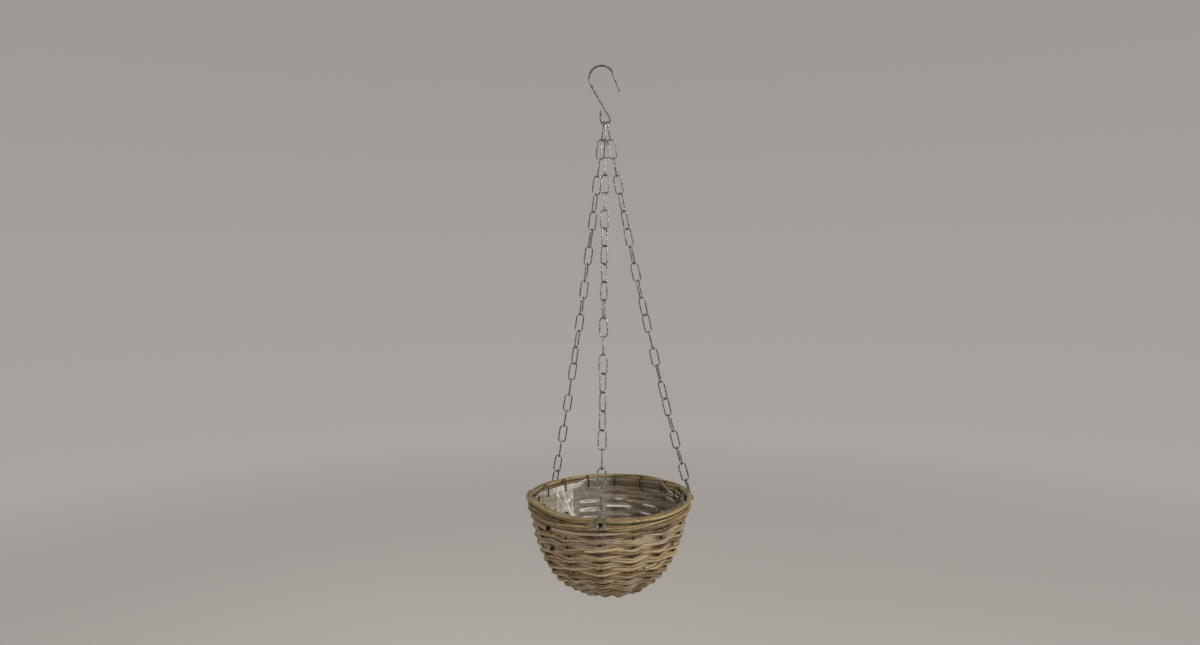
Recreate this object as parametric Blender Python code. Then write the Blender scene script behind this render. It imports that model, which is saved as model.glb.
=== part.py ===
"""A round woven basket that hangs by three chains from one S-hook.

The origin is the point of the hook's bow that bears on a nail or bracket, plumb over the basket.
+Z is up, and the hook's wire lies in the XZ plane. An azimuth of 0 points to -Y, and grows towards +X.
"""
import math

import bmesh
import bpy
from mathutils import Matrix, Vector

MM = 0.001

# Fits: the gap between pieces that touch
CLEARANCE = 0.3 * MM

# The S-hook, one bent wire
HOOK_WIRE = 2.8 * MM
BOW_RADIUS = 18.6 * MM
BOW_END_ANGLE = math.radians(37)
TIP_LENGTH = 32.2 * MM
TIP_LEAN = math.radians(21.5)
SHANK_LENGTH = 53.9 * MM
SHANK_LEAN = math.radians(30)
BEND_RADIUS = 7.0 * MM
FREE_LEG = 13.6 * MM
ARC_STEPS = 12

# The chains: oval links of round wire
LINK_COUNT = 22
LINK_PITCH = 26.5 * MM
LINK_WIDTH = 13.0 * MM
LINK_WIRE = 2.0 * MM
LINK_BITE = 0.3 * MM
LINK_END_STEPS = 4
CHAIN_SAG = 7.7 * MM
TOP_LINK_SPACING = 2.8 * MM

# Each chain: its azimuth on the rim, its place along the hook's bend, how far its links have turned
# about the chain, as pairs of a link's number and its turn in degrees, and the whole turns at the
# last link, which faces the rim
CHAINS = {
    "front": (-5.85, 0, ((1, 0), (6, 8), (7, 38), (10, 38), (11, 18), (12, 0), (14, 0), (15, 45),
                         (17, 45), (18, 12), (19, 0)), 0),
    "right": (100.8, 1, ((1, 0), (4, 12), (5, 32), (6, 50), (7, 65), (8, 75), (10, 110), (11, 130),
                         (12, 155), (13, 180), (15, 195), (16, 220), (17, 240), (18, 255)), 360),
    "left": (-136.0, -1, ((1, 0), (4, 0), (5, 28), (7, 15), (12, 15), (13, 24), (14, 48), (15, 66),
                          (16, 88), (20, 90)), 0),
}

# The rim: two outer canes and an inner one, seen in section from the rim's centre height
CANE_DIAMETER = 6.2 * MM
CANE_PLAY = 0.6 * MM
UPPER_CANE_STEP = 1.3 * MM
UPPER_CANE_HEIGHT = 4.2 * MM
LOWER_CANE_DROP = 5.4 * MM
INNER_CANE_DIAMETER = 5.6 * MM
INNER_CANE_HEIGHT = 0.8 * MM

# The wire eyes, each a closed loop round the lower cane that stands out for its chain
EYE_WIRE = 2.0 * MM
EYE_OUTER_RADIUS = 3.6 * MM
EYE_PLAY = 0.9 * MM
EYE_REACH = 8.0 * MM
EYE_DROP = 2.7 * MM
EYE_STEPS = 7

# The ribs: steel wires from the base up the wall and over the rim, bent by hand to uneven azimuths
RIB_AZIMUTHS = (-7.6, 16.6, 40.6, 67.0, 87.5, 108.0, 128.4, 151.4, 174.5, 197.5, 220.3, 243.0, 271.0,
                298.5, 326.2)
RIB_COUNT = len(RIB_AZIMUTHS)
RIB_WIRE = 2.0 * MM
RIB_RADIUS = 115.9 * MM
RIB_DEPTH = 129.5 * MM
RIB_TOP_DROP = 4.8 * MM
WALL_DEPTH_POWER = 1.556
WALL_RADIUS_POWER = 2.913
RIB_LOOP_HEIGHT = 4.5 * MM
RIB_LEG_DROP = 9.0 * MM
RIB_FOOT_RADIUS = 9.0 * MM
RIB_WALL_STEPS = 8
RIB_LOOP_STEPS = 3

# The woven rows: bundles of split rods, over one rib and under the next
ROW_COUNT = 22
ROW_THICKNESS = 4.4 * MM
ROW_GAP = 0.55 * MM
ROW_SLACK = 0.35 * MM
LAST_ROW_RADIUS = 37.5 * MM
SHOULDER_SHARE = 0.6
TAIL_SHARE = 0.16

# The base: a flat woven pad under the ribs' feet
BASE_BEVEL = 1.2 * MM

# The liner: plastic film, drawn here thicker than it is
FILM = 0.5 * MM
LINER_TOP_HEIGHT = 2.0 * MM
LINER_INSET = 7.0 * MM
LINER_STEPS = 6

# Fineness of the curves that have no size of their own
PROFILE_STEPS = 240
SEAM_SHIFT = 8

MATERIALS = {
    "galvanised_wire": ((0.42, 0.43, 0.44, 1.0), 0.38, 1.0),
    "rib_wire": ((0.10, 0.09, 0.085, 1.0), 0.6, 0.8),
    "split_cane": ((0.42, 0.31, 0.16, 1.0), 0.7, 0.0),
    "weathered_rod": ((0.36, 0.28, 0.17, 1.0), 0.75, 0.0),
    "clear_film": ((0.75, 0.75, 0.74, 0.35), 0.2, 0.0),
}


def make_material(name):
    colour, roughness, metallic = MATERIALS[name]
    material = bpy.data.materials.new(name)
    material.use_nodes = True
    shader = material.node_tree.nodes["Principled BSDF"]
    shader.inputs["Base Color"].default_value = colour
    shader.inputs["Roughness"].default_value = roughness
    shader.inputs["Metallic"].default_value = metallic
    shader.inputs["Alpha"].default_value = colour[3]
    return material


def clear_scene():
    for item in list(bpy.data.objects):
        bpy.data.objects.remove(item, do_unlink=True)


def link_object(name, data, material, parent):
    item = bpy.data.objects.new(name, data)
    bpy.context.scene.collection.objects.link(item)
    if not data.materials:
        data.materials.append(bpy.data.materials.get(material) or make_material(material))
    if parent is not None:
        item.parent = parent
        item.matrix_parent_inverse = Matrix.Translation(-parent.location)
    return item


def pivot(name, place, parent=None):
    """An empty on a joint's axis."""
    item = bpy.data.objects.new(name, None)
    bpy.context.scene.collection.objects.link(item)
    item.location = place
    if parent is not None:
        item.parent = parent
        item.matrix_parent_inverse = Matrix.Translation(-parent.location)
    return item


def compass(azimuth, radius, height):
    angle = math.radians(azimuth)
    return Vector((radius * math.sin(angle), -radius * math.cos(angle), height))


def arc(centre, radius, start, end, steps):
    """Points of an arc in a plane, from one angle to another."""
    angles = [start + (end - start) * step / steps for step in range(steps + 1)]
    return [(centre[0] + radius * math.cos(a), centre[1] + radius * math.sin(a)) for a in angles]


def wire_curve(name, loops, diameter, closed, resolution):
    """One curve, with a spline of round wire along each list of points."""
    curve = bpy.data.curves.new(name, "CURVE")
    curve.dimensions = "3D"
    curve.bevel_depth = diameter / 2
    curve.bevel_resolution = resolution
    curve.use_fill_caps = True
    for points in loops:
        spline = curve.splines.new("POLY")
        spline.points.add(len(points) - 1)
        for corner, point in zip(spline.points, points):
            corner.co = (*point, 1.0)
        spline.use_cyclic_u = closed
        spline.use_smooth = True
    return curve


def shade(mesh):
    mesh.shade_smooth()
    mesh.set_sharp_from_angle(angle=math.radians(50))


# The S-hook

def bow_centre():
    """The bow's centre, counted from the lower bend's centre."""
    foot_x = BEND_RADIUS * math.cos(SHANK_LEAN) - SHANK_LENGTH * math.sin(SHANK_LEAN)
    foot_z = BEND_RADIUS * math.sin(SHANK_LEAN) + SHANK_LENGTH * math.cos(SHANK_LEAN)
    return (foot_x + BOW_RADIUS * math.cos(SHANK_LEAN), foot_z + BOW_RADIUS * math.sin(SHANK_LEAN))


def bend_height():
    """Height of the lower bend's centre: the bow bears at the origin, plumb above it."""
    x, z = bow_centre()
    return -(z + math.sqrt((BOW_RADIUS - HOOK_WIRE / 2) ** 2 - x ** 2))


def bend_bottom():
    return Vector((0, 0, bend_height() - BEND_RADIUS))


def hook_points():
    base = bend_height()
    x, z = bow_centre()
    bend = arc((0, base), BEND_RADIUS, math.pi, math.tau + SHANK_LEAN, ARC_STEPS)
    bow = arc((x, base + z), BOW_RADIUS, math.pi + SHANK_LEAN, BOW_END_ANGLE, ARC_STEPS)
    leg = (bend[0][0], base + FREE_LEG)
    tip = (bow[-1][0] + TIP_LENGTH * math.sin(TIP_LEAN), bow[-1][1] - TIP_LENGTH * math.cos(TIP_LEAN))
    return [Vector((px, 0, pz)) for px, pz in [leg, *bend, *bow, tip]]


def make_hook():
    curve = wire_curve("s_hook", [hook_points()], HOOK_WIRE, False, 2)
    link_object("s_hook", curve, "galvanised_wire", None)


# The chains

def lower_cane_radius():
    """The lower cane lies outside the ribs."""
    return RIB_RADIUS + RIB_WIRE / 2 + CANE_PLAY + CANE_DIAMETER / 2


def eye_point(azimuth):
    """Where a chain's last link bears on its eye, less the height of the rim."""
    return compass(azimuth, lower_cane_radius() + EYE_REACH, -EYE_DROP)


def chain_top(place):
    """Where a chain's first link bears on the hook's bend."""
    seat = BEND_RADIUS - HOOK_WIRE / 2 - LINK_WIRE / 2 - CLEARANCE
    x = place * TOP_LINK_SPACING
    return Vector((x, 0, bend_height() - math.sqrt(seat ** 2 - x ** 2) - LINK_WIRE / 2))


def rim_height():
    """The rim's centre height, from the length of the front chain."""
    azimuth, place = CHAINS["front"][:2]
    top = chain_top(place)
    length = LINK_COUNT * LINK_PITCH
    chord = length - 8 * CHAIN_SAG ** 2 / (3 * length)
    out = eye_point(azimuth) - top
    drop = math.sqrt(chord ** 2 - out.x ** 2 - out.y ** 2)
    return top.z - drop + EYE_DROP


def chain_points(name):
    """The points where a chain's links bear on each other, along its sagging line."""
    azimuth, place = CHAINS[name][:2]
    top = chain_top(place)
    end = eye_point(azimuth) + Vector((0, 0, rim_height()))
    chord = (end - top).normalized()
    sag = (Vector((0, 0, -1)) + chord * chord.z).normalized() * CHAIN_SAG
    shares = [step / LINK_COUNT for step in range(LINK_COUNT + 1)]
    return [top.lerp(end, share) + sag * 4 * share * (1 - share) for share in shares]


def link_turn(name, number):
    """How far a link has turned about its chain, in radians."""
    azimuth, _, turns, whole_turns = CHAINS[name]
    steps = [*turns, (LINK_COUNT, whole_turns - azimuth)]
    for (low, start), (high, end) in zip(steps, steps[1:]):
        if low <= number <= high:
            return math.radians(start + (end - start) * (number - low) / (high - low))
    return 0.0


def link_points(start, end, across):
    """The centre line of one oval link, from the inside of one end to the inside of the other."""
    along = (end - start).normalized()
    radius = (LINK_WIDTH - LINK_WIRE) / 2
    inner = radius - LINK_WIRE / 2
    angles = [math.pi * step / LINK_END_STEPS for step in range(LINK_END_STEPS + 1)]
    top = [start + along * (inner - radius * math.sin(a)) + across * radius * math.cos(a) for a in angles]
    low = [end - along * (inner - radius * math.sin(a)) - across * radius * math.cos(a) for a in angles]
    return top + low


def chain_link(name, number, grow_start, grow_end):
    """The centre line of one link of a chain. Each end is moved outwards by its own amount."""
    points = chain_points(name)
    start, end = points[number - 1], points[number]
    along = (end - start).normalized()
    side = Vector((0, 1, 0)) if number % 2 else Vector((1, 0, 0))
    side = (side - along * side.dot(along)).normalized()
    across = Matrix.Rotation(link_turn(name, number), 3, along) @ side
    return link_points(start - along * grow_start, end + along * grow_end, across)


def mesh_of(curve):
    """A curve's tube as a mesh."""
    guide = link_object(curve.name, curve, "galvanised_wire", None)
    mesh = bpy.data.meshes.new_from_object(guide.evaluated_get(bpy.context.evaluated_depsgraph_get()))
    bpy.data.objects.remove(guide)
    return mesh


def join_meshes(item, tool_mesh):
    """Adds a second mesh to an object's own, as one body."""
    tool = link_object("join_tool", tool_mesh, "galvanised_wire", None)
    union = item.modifiers.new("join", "BOOLEAN")
    union.operation = "UNION"
    union.solver = "EXACT"
    union.object = tool
    joined = bpy.data.meshes.new_from_object(item.evaluated_get(bpy.context.evaluated_depsgraph_get()))
    item.modifiers.clear()
    item.data = joined
    bpy.data.objects.remove(tool)
    shade(joined)


def make_strand(name, parent):
    """The links between a chain's first and last, which bear on each other as one line."""
    bite = -LINK_BITE / 2
    play = CLEARANCE / 2
    loops = []
    for number in range(2, LINK_COUNT):
        above = play if number == 2 else bite
        below = play if number == LINK_COUNT - 1 else bite
        loops.append(chain_link(name, number, above, below))
    even = mesh_of(wire_curve("even_links", loops[0::2], LINK_WIRE, True, 1))
    odd = mesh_of(wire_curve("odd_links", loops[1::2], LINK_WIRE, True, 1))
    strand = link_object(f"{name}_chain", even, "galvanised_wire", parent)
    join_meshes(strand, odd)


def make_single_link(name, title, number, parent):
    play = CLEARANCE / 2
    curve = wire_curve(title, [chain_link(name, number, play, play)], LINK_WIRE, True, 1)
    link_object(title, curve, "galvanised_wire", parent)


# The eyes

def belt(first, first_radius, second, second_radius, steps):
    """A closed line round two circles, as a belt lies on two pulleys."""
    dx, dz = second[0] - first[0], second[1] - first[1]
    turn = math.atan2(dz, dx)
    spread = math.acos((first_radius - second_radius) / math.hypot(dx, dz))
    far = arc(second, second_radius, turn - spread, turn + spread, steps)
    near = arc(first, first_radius, turn + spread, turn + math.tau - spread, steps)
    return far + near


def make_eye(name, parent):
    azimuth = CHAINS[name][0]
    points = chain_points(name)
    pull = (points[-2] - points[-1]).normalized()
    outward = compass(azimuth, 1, 0)
    bearing = points[-1] - pull * (EYE_OUTER_RADIUS - EYE_WIRE / 2 - CLEARANCE / 2)
    outer = (bearing.dot(outward), bearing.z)
    round_cane = (lower_cane_radius(), rim_height() - LOWER_CANE_DROP)
    round_radius = (CANE_DIAMETER + EYE_WIRE) / 2 + EYE_PLAY
    loop = belt(round_cane, round_radius, outer, EYE_OUTER_RADIUS, EYE_STEPS)
    curve = wire_curve(f"{name}_eye", [[compass(azimuth, r, z) for r, z in loop]], EYE_WIRE, True, 1)
    link_object(f"{name}_eye", curve, "galvanised_wire", parent)


# The rim

def rib_azimuth(number):
    """A rib's azimuth. A number between two ribs gives a place between them."""
    low = math.floor(number)
    start, end = (RIB_AZIMUTHS[n % RIB_COUNT] + 360 * (n // RIB_COUNT) for n in (low, low + 1))
    return start + (end - start) * (number - low)


def rib_span():
    """The smallest angle between two ribs."""
    return min(rib_azimuth(number + 1) - rib_azimuth(number) for number in range(RIB_COUNT))


def leg_radius():
    """The ribs' inner legs press the film against the inner cane."""
    return liner_radius() - FILM - CLEARANCE - RIB_WIRE / 2


def inner_cane_radius():
    return RIB_RADIUS - RIB_WIRE / 2 - CLEARANCE - INNER_CANE_DIAMETER / 2


def liner_radius():
    return inner_cane_radius() - INNER_CANE_DIAMETER / 2 - CLEARANCE


def make_cane(title, radius, height, diameter, parent):
    azimuths = [rib_azimuth(step / 2) for step in range(2 * RIB_COUNT)]
    loop = [compass(azimuth, radius, rim_height() + height) for azimuth in azimuths]
    link_object(title, wire_curve(title, [loop], diameter, True, 1), "split_cane", parent)


# The ribs

def wall_profile():
    """The ribs' line up the wall: distance along it from the top, radius, height and outward normal."""
    top = rim_height() - RIB_TOP_DROP
    rows = []
    length = 0.0
    for step in range(PROFILE_STEPS):
        angle = math.pi / 2 * step / PROFILE_STEPS
        r = RIB_RADIUS * math.cos(angle) ** (2 / WALL_RADIUS_POWER)
        z = top - RIB_DEPTH * math.sin(angle) ** (2 / WALL_DEPTH_POWER)
        if rows:
            length += math.hypot(r - rows[-1][1], z - rows[-1][2])
        rows.append((length, r, z))
    return rows


def on_wall(profile, distance):
    """Radius, height, and the outward normal's two parts, at a distance along the profile."""
    for low, high in zip(profile, profile[1:]):
        if low[0] <= distance <= high[0]:
            share = (distance - low[0]) / (high[0] - low[0])
            dr, dz = high[1] - low[1], high[2] - low[2]
            size = math.hypot(dr, dz)
            return (low[1] + dr * share, low[2] + dz * share, -dz / size, dr / size)
    raise ValueError("the distance lies off the wall")


def distance_at_radius(profile, radius):
    for low, high in zip(profile, profile[1:]):
        if high[1] <= radius <= low[1]:
            return low[0] + (high[0] - low[0]) * (low[1] - radius) / (low[1] - high[1])
    raise ValueError("the radius lies off the wall")


def rib_section(profile):
    """A rib's centre line as radius and height, from its inner leg over the rim down to its foot."""
    rim = rim_height()
    leg = leg_radius()
    loop_radius = (RIB_RADIUS - leg) / 2
    loop = arc((leg + loop_radius, rim + RIB_LOOP_HEIGHT), loop_radius, math.pi, 0, RIB_LOOP_STEPS)
    end = distance_at_radius(profile, LAST_ROW_RADIUS)
    wall = [on_wall(profile, end * step / RIB_WALL_STEPS)[:2] for step in range(RIB_WALL_STEPS + 1)]
    floor = wall[-1][1]
    return [(leg, rim - RIB_LEG_DROP), *loop, *wall, (RIB_FOOT_RADIUS, floor)]


def make_ribs(profile, parent):
    section = [compass(0, r, z) for r, z in rib_section(profile)]
    curve = wire_curve("rib", [section], RIB_WIRE, False, 1)
    for number in range(RIB_COUNT):
        rib = link_object(f"rib_{number + 1:02d}", curve, "rib_wire", parent)
        rib.rotation_euler.z = math.radians(rib_azimuth(number))


# The woven rows

def first_row_distance():
    """Along the wall, the first row's middle lies just under the eyes."""
    eye_bottom = LOWER_CANE_DROP + (CANE_DIAMETER + EYE_WIRE) / 2 + EYE_PLAY + EYE_WIRE / 2
    return eye_bottom + ROW_GAP - RIB_TOP_DROP


def row_layout(profile):
    """The distance of each row along the wall, and the rows' common height."""
    first = first_row_distance()
    last = distance_at_radius(profile, LAST_ROW_RADIUS)
    pitch = (last - first) / (ROW_COUNT - 0.5)
    return [first + pitch * (row + 0.5) for row in range(ROW_COUNT)], pitch - ROW_GAP


def row_stations(place, row):
    """Azimuth and side of the wall for each bend of one row, with a short tail at both ends."""
    angle = rib_span()
    side = 1 if row % 2 == 0 else -1
    ribs = [(rib_azimuth(SEAM_SHIFT + number), side * (-1) ** number) for number in range(RIB_COUNT + 1)]
    start = (ribs[0][0] - TAIL_SHARE * angle, ribs[0][1])
    end = (ribs[-1][0] + TAIL_SHARE * angle, ribs[-1][1])
    radius, _, out, _ = place
    half = math.radians(angle) / 2
    reach = (RIB_WIRE + ROW_THICKNESS) / 2 + ROW_SLACK
    lean = math.atan2(2 * reach, 2 * radius * math.sin(half)) + half * out
    return [start, *ribs, end], reach / math.cos(lean)


def row_section(height):
    """A bundle's cross section: out from the wall, and up along it."""
    t, h = ROW_THICKNESS / 2, height / 2
    shoulder = h * SHOULDER_SHARE
    return [(0, h), (-t, shoulder), (-t, -shoulder), (0, -h), (t, -shoulder), (t, shoulder)]


def make_row(row, place, height, parent):
    """One row: a bundle that goes once round, swept through its bends."""
    radius, level, out, up = place
    stations, offset = row_stations(place, row)
    title = f"weave_row_{row + 1:02d}"
    mesh = bpy.data.meshes.new(title)
    work = bmesh.new()
    rings = []
    for azimuth, side in stations:
        ring = []
        for away, along in row_section(height):
            push = side * offset + away
            r = radius + out * push - up * along
            z = level + up * push + out * along
            ring.append(work.verts.new(compass(azimuth, r, z)))
        rings.append(ring)
    for low, high in zip(rings, rings[1:]):
        for corner in range(len(low)):
            follow = (corner + 1) % len(low)
            work.faces.new((low[corner], low[follow], high[follow], high[corner]))
    work.faces.new(reversed(rings[0]))
    work.faces.new(rings[-1])
    bmesh.ops.recalc_face_normals(work, faces=work.faces)
    work.to_mesh(mesh)
    work.free()
    shade(mesh)
    link_object(title, mesh, "weathered_rod", parent)


# The base and the liner

def base_top(profile):
    """The pad's top lies under the ribs' feet."""
    feet = rib_section(profile)[-1][1]
    return feet - RIB_WIRE / 2 - CLEARANCE


def base_bottom(profile):
    """The pad's underside is level with the lowest woven row's."""
    rows, height = row_layout(profile)
    _, level, out, up = place = on_wall(profile, rows[-1])
    offset = row_stations(place, 0)[1]
    shoulder = height / 2 * SHOULDER_SHARE
    return level + up * (offset + ROW_THICKNESS / 2) - out * shoulder - CLEARANCE


def make_base(profile, parent):
    rows, height = row_layout(profile)
    place = on_wall(profile, rows[-1])
    radius = place[0] + place[3] * height / 2 - CLEARANCE
    top, bottom = base_top(profile), base_bottom(profile)
    mesh = bpy.data.meshes.new("base_pad")
    work = bmesh.new()
    bmesh.ops.create_cone(work, cap_ends=True, segments=2 * RIB_COUNT, radius1=radius, radius2=radius,
                          depth=top - bottom)
    work.to_mesh(mesh)
    work.free()
    pad = link_object("base_pad", mesh, "weathered_rod", parent)
    pad.location.z = (top + bottom) / 2
    pad.rotation_euler.z = math.radians(rib_azimuth(0))
    bevel = pad.modifiers.new("edge", "BEVEL")
    bevel.width = BASE_BEVEL
    bevel.segments = 1
    bevel.limit_method = "ANGLE"
    shade(mesh)


def liner_section(profile):
    """The film's outside as radius and height, from its top edge to the middle of the base."""
    rim = rim_height()
    end = distance_at_radius(profile, LAST_ROW_RADIUS)
    start = first_row_distance()
    section = [(liner_radius(), rim + LINER_TOP_HEIGHT), (liner_radius(), rim - RIB_LEG_DROP)]
    for step in range(LINER_STEPS):
        r, z, out, up = on_wall(profile, start + (end - start) * (step + 0.5) / LINER_STEPS)
        section.append((r - out * LINER_INSET, z - up * LINER_INSET))
    return section


def make_liner(profile, parent):
    mesh = bpy.data.meshes.new("liner")
    work = bmesh.new()
    azimuths = [rib_azimuth(step / 2) for step in range(2 * RIB_COUNT)]
    rings = [[work.verts.new(compass(a, r, z)) for a in azimuths] for r, z in liner_section(profile)]
    for high, low in zip(rings, rings[1:]):
        for corner in range(len(high)):
            follow = (corner + 1) % len(high)
            work.faces.new((high[corner], low[corner], low[follow], high[follow]))
    work.faces.new(reversed(rings[-1]))
    bmesh.ops.recalc_face_normals(work, faces=work.faces)
    work.to_mesh(mesh)
    work.free()
    liner = link_object("liner", mesh, "clear_film", parent)
    wall = liner.modifiers.new("film", "SOLIDIFY")
    wall.thickness = FILM
    wall.offset = -1
    wall.use_even_offset = True
    shade(mesh)


def build():
    clear_scene()
    make_hook()
    swing = pivot("swing_pivot", bend_bottom())
    first_joint = sum((chain_points(name)[1] for name in CHAINS), Vector()) / len(CHAINS)
    twist = pivot("twist_pivot", Vector((0, 0, first_joint.z)), swing)
    for name in CHAINS:
        make_single_link(name, f"{name}_top_link", 1, swing)
        make_strand(name, twist)
        make_single_link(name, f"{name}_end_link", LINK_COUNT, twist)
        make_eye(name, twist)
    lower = lower_cane_radius()
    make_cane("rim_cane_upper", lower + UPPER_CANE_STEP, UPPER_CANE_HEIGHT, CANE_DIAMETER, twist)
    make_cane("rim_cane_lower", lower, -LOWER_CANE_DROP, CANE_DIAMETER, twist)
    make_cane("rim_cane_inner", inner_cane_radius(), INNER_CANE_HEIGHT, INNER_CANE_DIAMETER, twist)
    profile = wall_profile()
    make_ribs(profile, twist)
    rows, height = row_layout(profile)
    for row, distance in enumerate(rows):
        make_row(row, on_wall(profile, distance), height, twist)
    make_base(profile, twist)
    make_liner(profile, twist)


build()
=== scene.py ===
"""A round woven basket that hangs by three chains from one S-hook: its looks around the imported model.

The origin is the point of the hook's bow that bears on a nail, plumb over the basket. +Z is up, the
camera looks along +Y, and an azimuth of 0 points to -Y and grows towards +X.
"""
import math

import bpy
import numpy as np
from mathutils import Matrix, Vector, noise


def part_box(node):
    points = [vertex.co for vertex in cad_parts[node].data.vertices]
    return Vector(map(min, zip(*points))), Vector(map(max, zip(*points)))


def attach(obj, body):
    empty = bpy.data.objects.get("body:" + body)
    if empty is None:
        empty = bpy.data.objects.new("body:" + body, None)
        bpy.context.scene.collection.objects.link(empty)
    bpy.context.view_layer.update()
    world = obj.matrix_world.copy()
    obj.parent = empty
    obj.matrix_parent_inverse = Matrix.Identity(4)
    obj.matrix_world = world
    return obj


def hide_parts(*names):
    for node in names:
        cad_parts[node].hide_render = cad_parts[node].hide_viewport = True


MM = 0.001
UP = np.array((0.0, 0.0, 1.0))
TAU = math.tau

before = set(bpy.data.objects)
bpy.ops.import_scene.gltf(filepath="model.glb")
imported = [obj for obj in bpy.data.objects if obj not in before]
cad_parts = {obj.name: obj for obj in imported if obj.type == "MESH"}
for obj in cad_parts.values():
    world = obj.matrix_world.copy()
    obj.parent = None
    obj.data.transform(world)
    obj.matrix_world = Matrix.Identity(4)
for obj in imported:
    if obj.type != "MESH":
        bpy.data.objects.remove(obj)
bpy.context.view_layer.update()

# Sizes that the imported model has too
CLEARANCE = 0.3 * MM
HOOK_WIRE = 2.8 * MM
BOW_RADIUS = 18.6 * MM
BOW_END_ANGLE = math.radians(37)
TIP_LENGTH = 32.2 * MM
TIP_LEAN = math.radians(21.5)
SHANK_LENGTH = 53.9 * MM
SHANK_LEAN = math.radians(30)
BEND_RADIUS = 7.0 * MM
FREE_LEG = 13.6 * MM
LINK_COUNT = 22
LINK_PITCH = 26.5 * MM
LINK_WIDTH = 13.0 * MM
LINK_WIRE = 2.0 * MM
CHAIN_SAG = 7.7 * MM
TOP_LINK_SPACING = 2.8 * MM
# Azimuth, place across the hook's bend, turns as (link number, degrees), and whole turns that the last adds
CHAINS = {
    "front": (-5.85, 0, ((1, 0), (6, 8), (7, 38), (10, 38), (11, 18), (12, 0), (14, 0), (15, 45),
                         (17, 45), (18, 12), (19, 0)), 0),
    "right": (100.8, 1, ((1, 0), (4, 12), (5, 32), (6, 50), (7, 65), (8, 75), (10, 110), (11, 130),
                         (12, 155), (13, 180), (15, 195), (16, 220), (17, 240), (18, 255)), 360),
    "left": (-136.0, -1, ((1, 0), (4, 0), (5, 28), (7, 15), (12, 15), (13, 24), (14, 48), (15, 66),
                          (16, 88), (20, 90)), 0),
}
CANE_DIAMETER = 6.2 * MM
CANE_PLAY = 0.6 * MM
UPPER_CANE_STEP = 1.3 * MM
LOWER_CANE_DROP = 5.4 * MM
INNER_CANE_DIAMETER = 5.6 * MM
INNER_CANE_HEIGHT = 0.8 * MM
EYE_WIRE = 2.0 * MM
EYE_OUTER_RADIUS = 3.6 * MM
EYE_PLAY = 0.9 * MM
EYE_REACH = 8.0 * MM
EYE_DROP = 2.7 * MM
RIB_AZIMUTHS = (-7.6, 16.6, 40.6, 67.0, 87.5, 108.0, 128.4, 151.4, 174.5, 197.5, 220.3, 243.0, 271.0,
                298.5, 326.2)
RIB_COUNT = len(RIB_AZIMUTHS)
RIB_WIRE = 2.0 * MM
RIB_RADIUS = 115.9 * MM
RIB_DEPTH = 129.5 * MM
RIB_TOP_DROP = 4.8 * MM
WALL_DEPTH_POWER = 1.556
WALL_RADIUS_POWER = 2.913
RIB_LOOP_HEIGHT = 4.5 * MM
RIB_LEG_DROP = 9.0 * MM
RIB_FOOT_RADIUS = 9.0 * MM
ROW_COUNT = 22
ROW_GAP = 0.55 * MM
LAST_ROW_RADIUS = 37.5 * MM
FILM = 0.5 * MM
LINER_INSET = 7.0 * MM


# Helpers

def compass(azimuth, radius, height):
    angle = math.radians(azimuth)
    return np.array((radius * math.sin(angle), -radius * math.cos(angle), height))


def srgb(red, green, blue):
    """A colour as it looks on screen, from 0 to 255, as linear values."""
    parts = [channel / 255 for channel in (red, green, blue)]
    return (*[c / 12.92 if c <= 0.04045 else ((c + 0.055) / 1.055) ** 2.4 for c in parts], 1.0)


def arc(centre, radius, start, end, steps):
    angles = np.linspace(start, end, steps + 1)
    return [(centre[0] + radius * math.cos(a), centre[1] + radius * math.sin(a)) for a in angles]


def unit(vector):
    return vector / np.linalg.norm(vector)


def bell(offset, spread):
    """1 at no offset, and falling to 0 over about two spreads."""
    return math.exp(-(offset / spread) ** 2)


def smooth_step(low, high, value):
    share = min(1.0, max(0.0, (value - low) / (high - low)))
    return share * share * (3 - 2 * share)


def turn_gap(azimuth, other):
    return abs((azimuth - other + 180) % 360 - 180)


def columns(rows):
    return [np.array(column) for column in zip(*rows)]


def waves(seed, count=4):
    """A smooth function of one value, from about -1 to 1, that is the same for each seed."""
    draw = np.random.default_rng(seed)
    rates = draw.uniform(0.5, 1.5, count) * (1 + np.arange(count))
    phases = draw.uniform(0, TAU, count)
    sizes = draw.uniform(0.6, 1.0, count) / (1 + np.arange(count)) ** 0.8
    total = sizes.sum() * 0.7
    return lambda x: float(np.sum(sizes * np.sin(rates * x + phases)) / total)


def add(name, data):
    item = bpy.data.objects.new(name, data)
    bpy.context.scene.collection.objects.link(item)
    return item


def place(name, mesh, body, nodes):
    """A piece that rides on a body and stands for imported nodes."""
    item = add(name, mesh)
    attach(item, body)
    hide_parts(*nodes)


def set_marks(mesh, marks):
    """Values at a mesh's points, which its material reads by name."""
    for title, values in marks.items():
        mark = mesh.attributes.new(title, "FLOAT", "POINT")
        mark.data.foreach_set("value", np.asarray(values, np.float32))


SHADE_STRENGTH = 1.6
SHARP_ANGLE = math.radians(50)


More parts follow.
